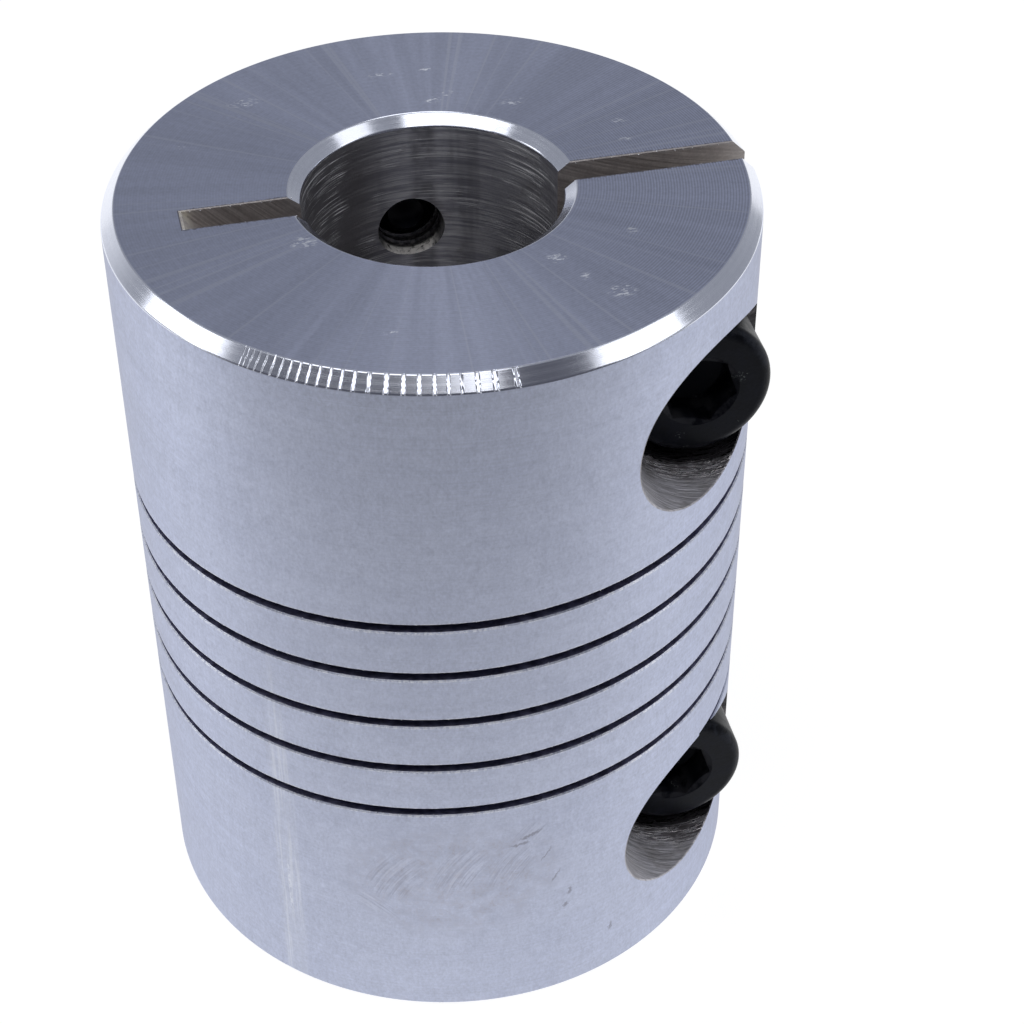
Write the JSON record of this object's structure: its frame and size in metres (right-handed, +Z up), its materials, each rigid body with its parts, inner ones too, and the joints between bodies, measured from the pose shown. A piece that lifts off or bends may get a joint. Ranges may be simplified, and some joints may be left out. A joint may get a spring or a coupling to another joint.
{
  "type": "flexible coupling",
  "caption": "One-piece aluminium shaft coupling with a spiral-cut flexing waist, slit clamp hubs with cap screws, and set screws at the back.",
  "frame": {"origin": "middle of the lower end face, on the shaft axis", "axes": "+Z up along the shaft axis; the clamp slits lie in the XZ plane and open towards +X; the clamp screw heads face -Y and the set screws stand on +Y"},
  "size_m": [0.0238, 0.0238, 0.0318],
  "materials": {
    "turned_aluminium": "bright turned aluminium with fine tool marks",
    "black_screw": "satin black oxide on alloy steel"
  },
  "bodies": {
    "root": {"coupling_body": "turned_aluminium", "clamp_screw_top": "black_screw", "clamp_screw_bottom": "black_screw", "set_screw_top": "black_screw", "set_screw_bottom": "black_screw"}
  },
  "joints": []
}
